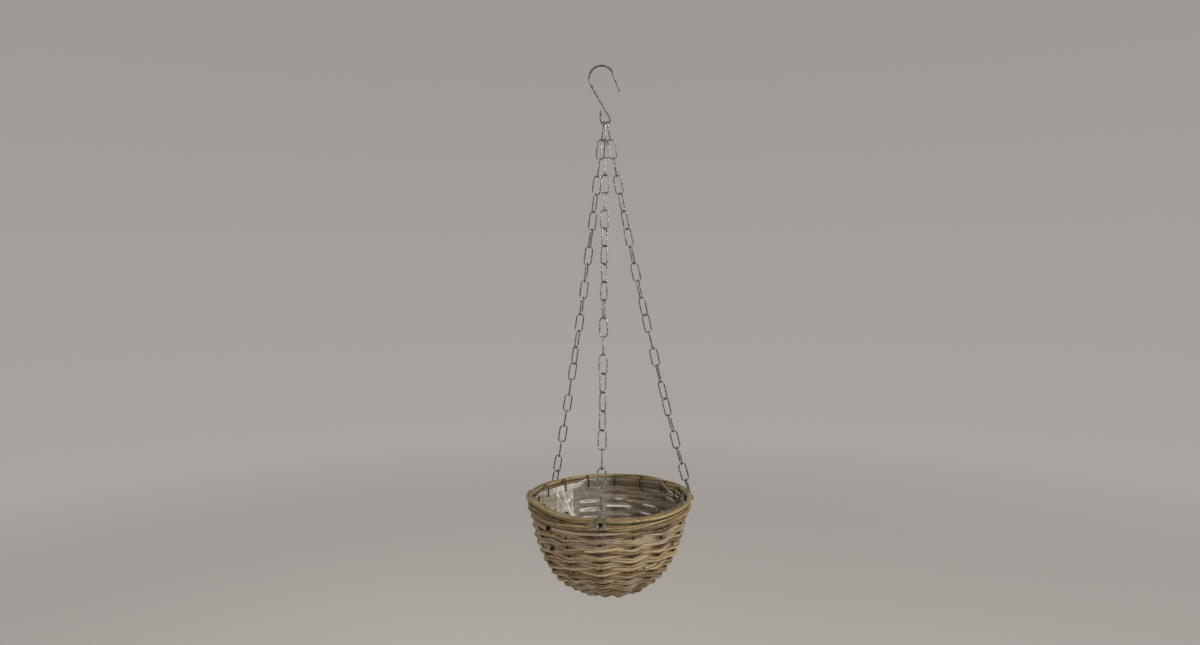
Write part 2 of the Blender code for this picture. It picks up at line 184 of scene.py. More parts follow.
class Mesh:
    """Swept lines that are gathered into one object."""

    def __init__(self):
        self.verts, self.faces, self.uvs, self.count = [], [], [], 0
        self.marks = {"tone": [], "painted_shade_and_dark_ends": []}

    def sweep(self, points, out, half_out, half_up, shade=0.0, closed=False, sides=8, square=1.0, tone=0.5,
              edge=0.0, end=0.0, start=0.0):
        """One line of oval section. out is the side that the section's first axis faces.

        A square below 1 makes the section boxy. start shifts the texture along the line, and tone picks its
        colour. edge paints shade on the section's upper and lower edges, where two rods meet, and end
        darkens the line's two ends: a cut face's own dark colour with painted shade. At each point shade
        paints shade on the outer side where it is above zero, and on the inner side where it is below.
        """
        points, out = np.asarray(points, float), np.asarray(out, float)
        n = len(points)
        tangent = np.roll(points, -1, 0) - np.roll(points, 1, 0)
        if not closed:
            tangent[0], tangent[-1] = points[1] - points[0], points[-1] - points[-2]
        tangent /= np.linalg.norm(tangent, axis=1)[:, None]
        out = out - tangent * (out * tangent).sum(1)[:, None]
        out /= np.linalg.norm(out, axis=1)[:, None]
        up = np.cross(tangent, out)
        half_out, half_up, shade = (np.broadcast_to(np.asarray(values, float), n)
                                    for values in (half_out, half_up, shade))
        angles = (np.arange(sides) + 0.5) * TAU / sides
        c, s = np.cos(angles), np.sin(angles)
        x, y = (np.sign(values) * np.abs(values) ** square for values in (c, s))
        ring = (points[:, None] + out[:, None] * (half_out[:, None] * x)[..., None]
                + up[:, None] * (half_up[:, None] * y)[..., None])
        self.verts.append(ring.reshape(-1, 3))
        steps = np.linalg.norm(np.diff(points, axis=0, append=points[:1]), axis=1)
        along = start + np.concatenate(([0.0], np.cumsum(steps)))
        girth = TAU * float((half_out.mean() + half_up.mean()) / 2)
        base = self.count
        for i in range(n if closed else n - 1):
            k = (i + 1) % n
            for j in range(sides):
                m = (j + 1) % sides
                self.faces.append((base + i * sides + j, base + i * sides + m,
                                   base + k * sides + m, base + k * sides + j))
                low, high = girth * j / sides, girth * (j + 1) / sides
                self.uvs += [(along[i], low), (along[i], high), (along[i + 1], high), (along[i + 1], low)]
        if not closed:
            self.faces.append(tuple(base + j for j in reversed(range(sides))))
            self.faces.append(tuple(base + (n - 1) * sides + j for j in range(sides)))
            self.uvs += [(along[0], 0.0)] * sides + [(along[n - 1], 0.0)] * sides
        # Painted shade: dark rod edges where rods meet, dark sides in the dimples at the ribs, and dark cut
        # ends
        painted_shade_and_dark_ends = np.tile(edge * np.clip(np.abs(s) * 2 - 1, 0, 1), (n, 1))
        painted_shade_and_dark_ends = np.maximum(painted_shade_and_dark_ends, SHADE_STRENGTH * shade[:, None] * c)
        if end:
            painted_shade_and_dark_ends[0], painted_shade_and_dark_ends[-1] = end, end
        self.marks["tone"] += [tone] * (n * sides)
        self.marks["painted_shade_and_dark_ends"] += painted_shade_and_dark_ends.ravel().tolist()
        self.count += n * sides

    def wire(self, points, normal, radius, closed=False, sides=10):
        """A round wire along points in one plane."""
        normals = np.broadcast_to(unit(np.asarray(normal, float)), (len(points), 3))
        self.sweep(points, normals, radius, radius, closed=closed, sides=sides)

    def finish(self, name, material, body, nodes):
        mesh = bpy.data.meshes.new(name)
        mesh.from_pydata(np.concatenate(self.verts).tolist(), [], self.faces)
        layer = mesh.uv_layers.new(name="along")
        layer.data.foreach_set("uv", np.asarray(self.uvs, np.float32).ravel())
        set_marks(mesh, self.marks)
        mesh.materials.append(material)
        mesh.shade_smooth()
        mesh.set_sharp_from_angle(angle=SHARP_ANGLE)
        place(name, mesh, body, nodes)


# Materials

# Sockets of the Mix node by number, because it has several of each name
MIX_FACTOR, MIX_FIRST, MIX_SECOND, MIX_COLOUR = 0, 6, 7, 2


class Tree:
    """A node tree, with short ways to add nodes. A value is a number, a colour or another's output."""

    def __init__(self, tree):
        self.nodes, self.links = tree.nodes, tree.links

    def node(self, kind, values=None, **settings):
        made = self.nodes.new("ShaderNode" + kind)
        for key, value in settings.items():
            setattr(made, key, value)
        for key, value in (values or {}).items():
            if isinstance(value, bpy.types.NodeSocket):
                self.links.new(value, made.inputs[key])
            else:
                made.inputs[key].default_value = value
        return made

    def ramp(self, factor, *stops):
        made = self.node("ValToRGB", {"Fac": factor})
        ramp = made.color_ramp
        while len(ramp.elements) < len(stops):
            ramp.elements.new(1.0)
        for element, (position, colour) in zip(ramp.elements, stops):
            element.position = position
            element.color = colour if isinstance(colour, tuple) else (colour, colour, colour, 1.0)
        return made.outputs["Color"]

    def math(self, operation, first, second=0.0, clamp=False):
        values = {0: first, 1: second}
        return self.node("Math", values, operation=operation, use_clamp=clamp).outputs["Value"]

    def mix(self, factor, first, second, blend="MIX"):
        values = {MIX_FACTOR: factor, MIX_FIRST: first, MIX_SECOND: second}
        return self.node("Mix", values, data_type="RGBA", blend_type=blend).outputs[MIX_COLOUR]


class Shader(Tree):
    """A material's node tree around one Principled shader."""

    def __init__(self, name, roughness, metallic=0.0, **constants):
        self.material = bpy.data.materials.new(name)
        self.material.use_nodes = True
        super().__init__(self.material.node_tree)
        self.bsdf = self.nodes["Principled BSDF"]
        self.bsdf.inputs["Roughness"].default_value = roughness
        self.bsdf.inputs["Metallic"].default_value = metallic
        for socket, value in constants.items():
            self.bsdf.inputs[socket.replace("_", " ")].default_value = value

    def attribute(self, name):
        return self.node("Attribute", attribute_name=name).outputs["Fac"]

    def noise(self, stretch, scale, detail, rough, distortion=0.0, source=None):
        """Noise over the object's own coordinates, or another source's, times a stretch for each axis."""
        source = source or self.node("TexCoord").outputs["Object"]
        vector = self.node("Mapping", {"Vector": source, "Scale": stretch}).outputs["Vector"]
        return self.node("TexNoise", {"Vector": vector, "Scale": scale, "Detail": detail,
                                      "Roughness": rough, "Distortion": distortion}).outputs["Fac"]

    def bump(self, height, distance, strength=1.0):
        values = {"Height": height, "Distance": distance, "Strength": strength}
        self.set("Normal", self.node("Bump", values).outputs["Normal"])

    def set(self, socket, value):
        self.links.new(value, self.bsdf.inputs[socket])


def rod_material(name, dark, middle, light, brown, grey, grey_share):
    """Split rods: fibres along their length, weathered grey in places, and painted shade between two rods.
    """
    s = Shader(name, 0.62, Specular_IOR_Level=0.35)
    tone = s.attribute("tone")
    uv = s.node("UVMap", uv_map="along").outputs["UV"]
    shift = s.node("CombineXYZ", {"X": s.math("MULTIPLY", tone, 7.3), "Z": s.math("MULTIPLY", tone, 31.0)})
    line = s.node("VectorMath", {0: uv, 1: shift.outputs["Vector"]}, operation="ADD").outputs["Vector"]
    fibre = s.noise((60, 2600, 1), 1.0, 4.0, 0.6, source=line)
    strand = s.noise((20, 260, 1), 1.0, 3.0, 0.55, 0.4, line)
    patch = s.noise((38, 38, 60), 1.0, 3.0, 0.6)
    body = s.math("ADD", s.math("MULTIPLY", tone, 0.55), s.math("MULTIPLY", strand, 0.68))
    colour = s.ramp(body, (0.28, dark), (0.54, middle), (0.86, light))
    mottle = s.noise((130, 420, 1), 1.0, 3.0, 0.6, source=line)
    colour = s.mix(s.ramp(mottle, (0.36, 0.6), (0.5, 0.0)), colour, brown)
    colour = s.mix(s.ramp(mottle, (0.54, 0.0), (0.68, 0.55)), colour, grey)
    streak = s.ramp(fibre, (0.34, 0.62), (0.55, 1.0), (0.72, 1.14))
    colour = s.mix(1.0, colour, streak, "MULTIPLY")
    own = s.math("MULTIPLY", s.math("FRACT", s.math("MULTIPLY", tone, 7.13)), 0.34)
    wear = s.math("ADD", s.math("MULTIPLY", patch, 0.8), s.math("MULTIPLY", strand, 0.3))
    worn = s.ramp(s.math("ADD", wear, own), (0.74 - grey_share, 0.0), (0.92 - grey_share, 1.0))
    colour = s.mix(s.math("MULTIPLY", worn, 0.8), colour, grey)
    bark = s.ramp(s.noise((90, 200, 1), 1.0, 2.0, 0.55, source=line), (0.64, 0.0), (0.72, 1.0))
    colour = s.mix(s.math("MULTIPLY", bark, 0.6), colour, dark)
    # Painted shade between rods and at the ribs, and the cut ends' dark faces, mix in a deep brown
    shade_and_dark_end_share = s.math("MULTIPLY", s.attribute("painted_shade_and_dark_ends"), s.ramp(strand, (0.3, 1.0), (0.75, 0.45)))
    colour = s.mix(shade_and_dark_end_share, colour, srgb(34, 25, 15))
    s.set("Base Color", colour)
    s.set("Roughness", s.ramp(fibre, (0.3, 0.78), (0.7, 0.5)))
    s.bump(s.math("ADD", s.math("MULTIPLY", fibre, 0.5), strand), 0.4 * MM, 1.0)
    return s.material


def metal_material(name, light, dark, roughness):
    """Bare wire in dull and bright patches, a little uneven."""
    s = Shader(name, roughness, 0.9)
    patch = s.noise((1, 1, 1), 260.0, 3.0, 0.6)
    fine = s.noise((1, 1, 1), 700.0, 3.0, 0.6)
    s.set("Base Color", s.ramp(patch, (0.34, dark), (0.64, light)))
    s.set("Roughness", s.ramp(fine, (0.3, roughness - 0.06), (0.7, roughness + 0.08)))
    s.bump(fine, 0.03 * MM, 0.25)
    return s.material


def film_material():
    """Clear film: a faint brownish veil, whiter where creased, doubled or painted with gleams, and glossy.
    """
    s = Shader("clear_film", 0.3, Specular_IOR_Level=0.8, Coat_Weight=0.4, Coat_Roughness=0.18)
    crease_and_gleam = s.attribute("crease_and_gleam")
    cloud = s.ramp(s.noise((1, 1, 1), 60.0, 3.0, 0.6), (0.35, 0.8), (0.7, 1.25))
    veil = s.math("MULTIPLY", s.attribute("haze"), cloud)
    s.set("Alpha", s.math("ADD", veil, s.math("MULTIPLY", crease_and_gleam, 0.85), clamp=True))
    # The plain film's brownish tint is partly painted shade: it darkens the weave behind it
    tint = s.mix(s.attribute("milk"), srgb(104, 93, 84), srgb(192, 186, 171))
    # Creases and folds whiten the film, and so do the painted highlights
    s.set("Base Color", s.mix(crease_and_gleam, tint, srgb(238, 235, 226)))
    s.bump(s.noise((1, 1, 1), 180.0, 2.0, 0.5), 0.1 * MM, 0.2)
    return s.material


WOVEN = rod_material("woven_rods", srgb(86, 67, 40), srgb(160, 134, 92), srgb(206, 180, 132),
                     srgb(112, 84, 48), srgb(168, 152, 136), 0.0)
RIM = rod_material("rim_canes", srgb(76, 60, 34), srgb(134, 112, 73), srgb(178, 153, 106),
                   srgb(94, 72, 40), srgb(140, 127, 104), -0.04)
ZINC = metal_material("galvanised_wire", srgb(160, 161, 158), srgb(74, 75, 74), 0.3)
STEEL = metal_material("hook_steel", srgb(124, 121, 112), srgb(54, 52, 46), 0.36)
DARK = metal_material("dull_wire", srgb(108, 105, 98), srgb(42, 39, 36), 0.42)
CLEAR = film_material()


# The S-hook

BEND_STEPS, BOW_STEPS = 28, 44


def bow_centre():
    """The bow's middle, across and up from the bend's middle."""
    foot_x = BEND_RADIUS * math.cos(SHANK_LEAN) - SHANK_LENGTH * math.sin(SHANK_LEAN)
    foot_z = BEND_RADIUS * math.sin(SHANK_LEAN) + SHANK_LENGTH * math.cos(SHANK_LEAN)
    return (foot_x + BOW_RADIUS * math.cos(SHANK_LEAN), foot_z + BOW_RADIUS * math.sin(SHANK_LEAN))


def bend_height():
    """The height of the bend's middle when the bow bears on the origin."""
    x, z = bow_centre()
    return -(z + math.sqrt((BOW_RADIUS - HOOK_WIRE / 2) ** 2 - x ** 2))


def make_hook():
    base = bend_height()
    x, z = bow_centre()
    bend = arc((0, base), BEND_RADIUS, math.pi, TAU + SHANK_LEAN, BEND_STEPS)
    bow = arc((x, base + z), BOW_RADIUS, math.pi + SHANK_LEAN, BOW_END_ANGLE, BOW_STEPS)
    leg = (bend[0][0], base + FREE_LEG)
    tip = (bow[-1][0] + TIP_LENGTH * math.sin(TIP_LEAN), bow[-1][1] - TIP_LENGTH * math.cos(TIP_LEAN))
    points = [(px, 0, pz) for px, pz in (leg, *bend, *bow, tip)]
    work = Mesh()
    work.wire(points, (0, 1, 0), HOOK_WIRE / 2, sides=16)
    work.finish("hook_wire", STEEL, "hook", ["s_hook"])


# The chains and their eyes

LINK_ARC_POINTS = 15
# The points of a link's weld, in millimetres along its wire, and how much the middle ones swell
WELD_POINTS = (-1.6, -0.8, 0, 0.8, 1.6)
WELD_SWELL = (1.12, 1.22, 1.12)
LINK_TONE_STEP = 0.37
EYE_STEPS, EYE_LOOP_STEPS = 16, 24
LOWER_CANE_RADIUS = RIB_RADIUS + RIB_WIRE / 2 + CANE_PLAY + CANE_DIAMETER / 2


def eye_point(azimuth):
    return compass(azimuth, LOWER_CANE_RADIUS + EYE_REACH, -EYE_DROP)


def chain_top(across):
    """Where a chain's first link bears on the hook's bend."""
    seat = BEND_RADIUS - HOOK_WIRE / 2 - LINK_WIRE / 2 - CLEARANCE
    x = across * TOP_LINK_SPACING
    return np.array((x, 0, bend_height() - math.sqrt(seat ** 2 - x ** 2) - LINK_WIRE / 2))


def rim_height():
    """How high the rim hangs on the front chain, whose sag takes a little of its length."""
    azimuth, across = CHAINS["front"][:2]
    top = chain_top(across)
    length = LINK_COUNT * LINK_PITCH
    chord = length - 8 * CHAIN_SAG ** 2 / (3 * length)
    out = eye_point(azimuth) - top
    return top[2] - math.sqrt(chord ** 2 - out[0] ** 2 - out[1] ** 2) + EYE_DROP


RIM_HEIGHT = rim_height()


def chain_points(name):
    azimuth, across = CHAINS[name][:2]
    top = chain_top(across)
    end = eye_point(azimuth) + UP * RIM_HEIGHT
    chord = unit(end - top)
    sag = unit(-UP + chord * chord[2]) * CHAIN_SAG
    shares = [step / LINK_COUNT for step in range(LINK_COUNT + 1)]
    return [top + (end - top) * share + sag * 4 * share * (1 - share) for share in shares]


def link_turn(name, number):
    azimuth, _, turns, whole_turns = CHAINS[name]
    steps = [*turns, (LINK_COUNT, whole_turns - azimuth)]
    return math.radians(float(np.interp(number, *zip(*steps))))


def add_link(work, points, name, number):
    """One oval link, with the small bead where its wire is welded."""
    start, end = points[number - 1], points[number]
    along = unit(end - start)
    # The first and the last link are nodes of their own, with a small clearance to what they hang in
    start = start - along * (CLEARANCE / 2 if number in (1, 2, LINK_COUNT) else 0.0)
    end = end + along * (CLEARANCE / 2 if number in (1, LINK_COUNT - 1, LINK_COUNT) else 0.0)
    side = np.array((0.0, 1.0, 0.0)) if number % 2 else np.array((1.0, 0.0, 0.0))
    side = unit(side - along * side.dot(along))
    turn = Matrix.Rotation(link_turn(name, number), 3, Vector(along))
    across = np.array(turn @ Vector(side))
    radius = (LINK_WIDTH - LINK_WIRE) / 2
    inner = radius - LINK_WIRE / 2
    angles = np.linspace(0, math.pi, LINK_ARC_POINTS)
    top = [start + along * (inner - radius * math.sin(a)) + across * radius * math.cos(a) for a in angles]
    low = [end - along * (inner - radius * math.sin(a)) - across * radius * math.cos(a) for a in angles]
    middle = (start + end) / 2
    weld = [middle - across * radius + along * d * MM for d in WELD_POINTS]
    loop = np.array([*top, *weld, *low])
    sizes = np.full(len(loop), LINK_WIRE / 2)
    bead = len(top) + 1
    sizes[bead:bead + len(WELD_SWELL)] *= WELD_SWELL
    normal = np.broadcast_to(np.cross(across, along), loop.shape)
    work.sweep(loop, normal, sizes, sizes, closed=True, sides=10, tone=(number * LINK_TONE_STEP) % 1)


def make_chain(name):
    points = chain_points(name)
    for title, node, numbers, body in (("hook_link", "top_link", [1], "top_links"),
                                       ("links", "chain", range(2, LINK_COUNT), "basket"),
                                       ("rim_link", "end_link", [LINK_COUNT], "basket")):
        work = Mesh()
        for number in numbers:
            add_link(work, points, name, number)
        work.finish(f"{name}_{title}", ZINC, body, [f"{name}_{node}"])


def make_eye(name):
    """A wire bent round two centres: the lower cane, and the point where the chain's last link pulls."""
    azimuth = CHAINS[name][0]
    points = chain_points(name)
    pull = unit(points[-2] - points[-1])
    outward = compass(azimuth, 1, 0)
    bearing = points[-1] - pull * (EYE_OUTER_RADIUS - EYE_WIRE / 2 - CLEARANCE / 2)
    near = (LOWER_CANE_RADIUS, RIM_HEIGHT - LOWER_CANE_DROP)
    near_radius = (CANE_DIAMETER + EYE_WIRE) / 2 + EYE_PLAY
    far = (bearing.dot(outward), bearing[2])
    dx, dz = far[0] - near[0], far[1] - near[1]
    turn = math.atan2(dz, dx)
    spread = math.acos((near_radius - EYE_OUTER_RADIUS) / math.hypot(dx, dz))
    line = arc(far, EYE_OUTER_RADIUS, turn - spread, turn + spread, EYE_STEPS)
    line += arc(near, near_radius, turn + spread, turn + TAU - spread, EYE_LOOP_STEPS)
    loop = [compass(azimuth, r, z) for r, z in line]
    work = Mesh()
    work.wire(loop, compass(azimuth + 90, 1, 0), EYE_WIRE / 2, closed=True, sides=12)
    work.finish(f"{name}_eye_wire", STEEL, "basket", [f"{name}_eye"])


# The wall that the ribs follow

# How much further out the wall stands at the left than a true round one
LEFT_FULLER = 5.0 * MM


def rib_azimuth(number):
    """The azimuth of a rib, or of a place between two ribs. Numbers go on past the last rib."""
    low = math.floor(number)
    start, end = (RIB_AZIMUTHS[n % RIB_COUNT] + 360 * (n // RIB_COUNT) for n in (low, low + 1))
    return start + (end - start) * (number - low)


def wall_table(steps=600):
    """The wall's line: distance down it, radius, height, and the outward normal's two parts."""
    angle = np.linspace(0, math.pi / 2, steps, endpoint=False)
    r = RIB_RADIUS * np.cos(angle) ** (2 / WALL_RADIUS_POWER)
    z = RIM_HEIGHT - RIB_TOP_DROP - RIB_DEPTH * np.sin(angle) ** (2 / WALL_DEPTH_POWER)
    length = np.concatenate(([0.0], np.cumsum(np.hypot(np.diff(r), np.diff(z)))))
    dr, dz = np.gradient(r, length), np.gradient(z, length)
    return length, r, z, -dz, dr


WALL = wall_table()


def on_wall(distance):
    """Radius, height, and the outward normal's two parts, at a distance down the wall."""
    return [float(np.interp(distance, WALL[0], column)) for column in WALL[1:]]


# Distances down the wall: the first row's upper edge, which clears the eyes, and the last row's middle
EYE_BOTTOM = LOWER_CANE_DROP + (CANE_DIAMETER + EYE_WIRE) / 2 + EYE_PLAY + EYE_WIRE / 2
FIRST_ROW = EYE_BOTTOM + ROW_GAP - RIB_TOP_DROP
LAST_ROW = float(np.interp(-LAST_ROW_RADIUS, -WALL[1], WALL[0]))
ROW_PITCH = (LAST_ROW - FIRST_ROW) / (ROW_COUNT - 0.5)


def fuller(azimuth, distance):
    """The wall's extra fullness at an azimuth and a distance down."""
    side = max(0.0, -math.sin(math.radians(azimuth)))
    share = min(1.0, max(0.0, distance / LAST_ROW))
    return LEFT_FULLER * side ** 1.5 * math.sin(math.pi * share ** 1.5)


def wall_frame(azimuth, distance):
    """A point on the wall, with its outward and its upward direction."""
    r, z, out, up = on_wall(distance)
    r += fuller(azimuth, distance)
    return compass(azimuth, r, z), unit(compass(azimuth, out, up)), unit(compass(azimuth, -up, out))


# The ribs

RIB_LOOP_STEPS, RIB_WALL_POINTS = 16, 36
INNER_CANE_RADIUS = RIB_RADIUS - RIB_WIRE / 2 - CLEARANCE - INNER_CANE_DIAMETER / 2
LINER_RADIUS = INNER_CANE_RADIUS - INNER_CANE_DIAMETER / 2 - CLEARANCE
LEG_RADIUS = LINER_RADIUS - FILM - CLEARANCE - RIB_WIRE / 2


def make_ribs():
    half = (RIB_RADIUS - LEG_RADIUS) / 2
    loop = arc((LEG_RADIUS + half, RIM_HEIGHT + RIB_LOOP_HEIGHT), half, math.pi, 0, RIB_LOOP_STEPS)
    downs = np.linspace(0, LAST_ROW, RIB_WALL_POINTS)
    for number in range(RIB_COUNT):
        azimuth = rib_azimuth(number)
        wall = [(on_wall(down)[0] + fuller(azimuth, down), on_wall(down)[1]) for down in downs]
        section = [(LEG_RADIUS, RIM_HEIGHT - RIB_LEG_DROP), *loop, *wall, (RIB_FOOT_RADIUS, wall[-1][1])]
        work = Mesh()
        work.wire([compass(azimuth, r, z) for r, z in section], compass(azimuth + 90, 1, 0),
                  RIB_WIRE / 2, sides=10)
        work.finish(f"rib_wire_{number + 1:02d}", DARK, "basket", [f"rib_{number + 1:02d}"])


# The woven wall: three rods side by side, wound round and round from the rim to the base. A place along
# them is counted in ribs, to the left from the rib where they start. At even ribs the rods lie outside,
# at odd ones inside. Each row is level at the back, and steps down to the next at the left of the front.

WEAVE_START = -0.5
WEAVE_END = ROW_COUNT * RIB_COUNT - 2.6
START_RIB = 13
# Ribs after a row's start, and how many rows down the weave then lies
ROW_STEPS = ((0, 0.5), (11, 0.5), (12, 0.6), (13, 0.83), (14, 1.05), (15, 1.5))
START_DIP = 0.26
LOWEST_ROW = ROW_COUNT - 0.46
# The bundle's height, how its rods draw together between ribs, and how it bends
BUNDLE_HEIGHT = 10.8 * MM
MID_SQUEEZE = 0.8
BUNCH_POWER = 1.6
BEND_POWER = 1.22
# Half a rod's thickness, how far the bundle stands off the wall, and how much more so outside
ROD_HALF_THICKNESS = 1.5 * MM
ROD_REACH = 3.6 * MM
OUTER_REACH = 1.2
# How far the middle rod stands out at ribs and between them, and how uneven the rods are
CROWN = 2.4 * MM
BUNCH_DEPTH = 0.7 * MM
OUTER_DEPTH_SHARE = -0.7
WANDER = 0.45 * MM
DEPTH_WANDER = 0.3 * MM
SIZE_WANDER = 0.13
HEIGHT_WANDER = 0.45
# At a rib: the spread of its shade, how much and how widely the rods draw together, and where they turn
SHADE_SPREAD = 0.042
RIB_SQUEEZE = 0.26
SQUEEZE_SPREAD = 0.16
TURN_SHARE = 0.08
# At a rod's ends: how far the next one overlaps it, how much it thins, and how far it moves aside
JOIN_REACH = 0.42
JOIN_THINNING = 0.42
JOIN_SHIFT = 0.6
# At the weave's ends: over how many ribs the bundle grows, and the share of its height at the very end
END_TAPER = 2.0
END_HEIGHT = 0.62
SPAN_SHARES = (0.0, 0.045, 0.08, 0.18, 0.3, 0.42, 0.5, 0.58, 0.7, 0.82, 0.92, 0.955)
LANES = (-1, 0, 1)
LANE_WAVES = [waves(70 + lane) for lane in range(3)]


def row_step(n):
    """How far down its row's share of the wall the weave lies, n ribs after the row's start."""
    return float(np.interp(n, *zip(*ROW_STEPS)))


def weave_frame(x):
    """A place on the wall at x ribs along the weave, with its outward and upward directions."""
    row = max(0, math.floor(x / RIB_COUNT))
    rows = row + row_step(x - row * RIB_COUNT) + START_DIP * max(0.0, x / WEAVE_START)
    return wall_frame(rib_azimuth(START_RIB - x), FIRST_ROW + ROW_PITCH * min(rows, LOWEST_ROW))


def weave_point(x):
    """The bundle's middle: from rib to rib, outside one and inside the next, with a bend at each."""
    rib = round(x)
    if abs(x - rib) < TURN_SHARE * 0.99:
        behind, ahead = weave_point(rib - TURN_SHARE), weave_point(rib + TURN_SHARE)
        return behind + (ahead - behind) * ((x - rib) / TURN_SHARE + 1) / 2
    k = math.floor(x)
    share = x - k
    near, near_out, _ = weave_frame(k)
    far, far_out, _ = weave_frame(k + 1)
    bend = 1 - 2 * share
    reach = (-1) ** (k % 2) * ROD_REACH * math.copysign(abs(bend) ** BEND_POWER, bend)
    reach *= OUTER_REACH if reach > 0 else 1.0
    return near + (far - near) * share + unit(near_out + (far_out - near_out) * share) * reach


def lane_heights(x):
    """Half the height of each of the three rods. They change slowly along the weave."""
    ends = min(1.0, END_HEIGHT + (1 - END_HEIGHT) * min(x - WEAVE_START, WEAVE_END - x) / END_TAPER)
    parts = [1 + HEIGHT_WANDER * wave(x * 0.11) for wave in LANE_WAVES]
    return [BUNDLE_HEIGHT * ends * part / sum(parts) / 2 for part in parts]


def rod_line(lane, first, last, rod_first, rod_last, seed):
    """A rod's points, directions, sizes and shade from first to last. It thins to its own two ends."""
    side_wander, deep_wander, size_wander = (waves(seed * 3 + n) for n in range(3))
    spans = range(math.floor(first), math.ceil(last))
    stations = sorted({first, last, *[k + share for k in spans for share in SPAN_SHARES
                                      if first < k + share < last]})
    rows = []
    for x in stations:
        _, out, up = weave_frame(x)
        heights = lane_heights(x)
        half = heights[lane + 1]
        middle = sum(heights[:lane + 1]) * 2 + half - sum(heights) if lane else heights[0] - heights[2]
        bunch = (1 - abs(2 * (x - math.floor(x)) - 1)) ** BUNCH_POWER
        start_near = max(0.0, 1 - (x - rod_first) / (2 * JOIN_REACH)) if rod_first > WEAVE_START else 0.0
        end_near = max(0.0, 1 - (rod_last - x) / (2 * JOIN_REACH)) if rod_last < WEAVE_END else 0.0
        thin = 1 - JOIN_THINNING * max(start_near, end_near)
        rib = round(x)
        side = (-1) ** rib
        squeeze = RIB_SQUEEZE * (side > 0) * bell(x - rib, SQUEEZE_SPREAD)
        up_shift = middle * (1 - (1 - MID_SQUEEZE) * bunch - squeeze) + WANDER * side_wander(x * 0.8)
        up_shift += half * JOIN_SHIFT * (end_near - start_near)
        crown = CROWN * (0.5 - abs(middle) / BUNDLE_HEIGHT * 3) * side * (1 - bunch)
        depth = BUNCH_DEPTH * bunch * (1.0 if lane == 0 else OUTER_DEPTH_SHARE) + crown
        depth += DEPTH_WANDER * deep_wander(x * 1.3)
        size = (1 + SIZE_WANDER * size_wander(x * 0.6)) * thin
        rows.append((weave_point(x) + up * up_shift + out * depth, out, ROD_HALF_THICKNESS * size,
                     half * 0.99 * size, -side * bell(x - rib, SHADE_SPREAD)))
    return columns(rows)


def lane_joins(draw):
    """Where one rod ends and the next begins: always at a rib that the rods pass on the inside."""
    joins = [1 + 2 * int(draw.integers(1, 7))]
    while joins[-1] < WEAVE_END - 18:
        joins.append(joins[-1] + 2 * int(draw.integers(3, 8)))
    return [WEAVE_START, *joins, WEAVE_END]


# Rods with their cut ends in sight: the row that each belongs to, from 0, half its thickness in mm, its
# tone, and its stops from the cut end on, as azimuth, rows down the wall and millimetres out from it
CUT_RODS = (
    (0, 3.8, 0.3, ((-47.6, 0.74, 4.4), (-54, 0.7, 3.6), (-61.5, 0.6, 3.6), (-69, 0.5, 1.5),
                   (-76, 0.5, -1.5))),
    (0, 2.1, 0.97, ((-43.8, 0.6, 3.4), (-39, 0.5, 4.2), (-33.8, 0.48, 4.9), (-22, 0.5, 4.0), (-8, 0.4, 3.4),
                    (4, 0.3, 2.4), (17, 0.3, -0.5))),
    (4, 3.5, 0.3, ((-46.6, 5.09, 4.6), (-51, 5.15, 3.2), (-56, 5.3, 0.9), (-62, 5.45, -2.0))),
    (3, 1.6, 0.8, ((-18.5, 4.3, 3.0), (-12, 4.3, 2.6), (-5, 4.25, -1.0))),
    (8, 1.7, 0.7, ((28.0, 8.9, 3.2), (36, 8.8, 2.6), (44, 8.7, -1.0))),
    (5, 1.5, 0.35, ((54.0, 5.2, 2.8), (60, 5.25, 2.2), (68, 5.3, -1.2))),
    (11, 1.6, 0.6, ((3.0, 11.6, 3.0), (-3, 11.7, 2.4), (-10, 11.8, -1.0))),
    (9, 1.6, 0.5, ((163, 9.4, 3.0), (157, 9.4, 2.4), (150, 9.5, -1.0))),
    (4, 1.6, 0.85, ((209, 4.6, 3.0), (215, 4.6, 2.4), (222, 4.5, -1.0))),
    (13, 1.5, 0.45, ((100, 13.4, 2.8), (105, 13.4, 2.2), (111, 13.5, -1.0))),
    (2, 1.6, 0.6, ((118, 2.6, 3.0), (124, 2.6, 2.4), (130, 2.5, -1.0))),
    (15, 1.5, 0.3, ((255, 15.5, 2.8), (262, 15.5, 2.2), (270, 15.4, -1.0))),
)
# Points from one stop to the next, and the second point's place, close to the cut, which keeps it sharp
CUT_STEPS = 6
CUT_LIP_SHARE = 0.02


def cut_rod(work, half, tone, stops):
    """A rod that lies over the others from its cut end, and dives in among them at its other one."""
    last = len(stops) - 1
    tables = columns(stops)
    rows = []
    for share in (0.0, CUT_LIP_SHARE, *np.linspace(0, last, last * CUT_STEPS + 1)[1:]):
        azimuth, rows_down, depth = (float(np.interp(share, range(last + 1), table)) for table in tables)
        point, out, _ = wall_frame(azimuth, FIRST_ROW + ROW_PITCH * rows_down)
        rows.append((point + out * depth * MM, out))
    points, out = columns(rows)
    points[1:-1] = (points[:-2] + points[1:-1] * 2 + points[2:]) / 4
    # end darkens the cut face: partly its own dark colour, partly painted shade
    work.sweep(points, out, half * MM, half * MM, sides=12, tone=tone, edge=0.3, end=2.0, start=half)


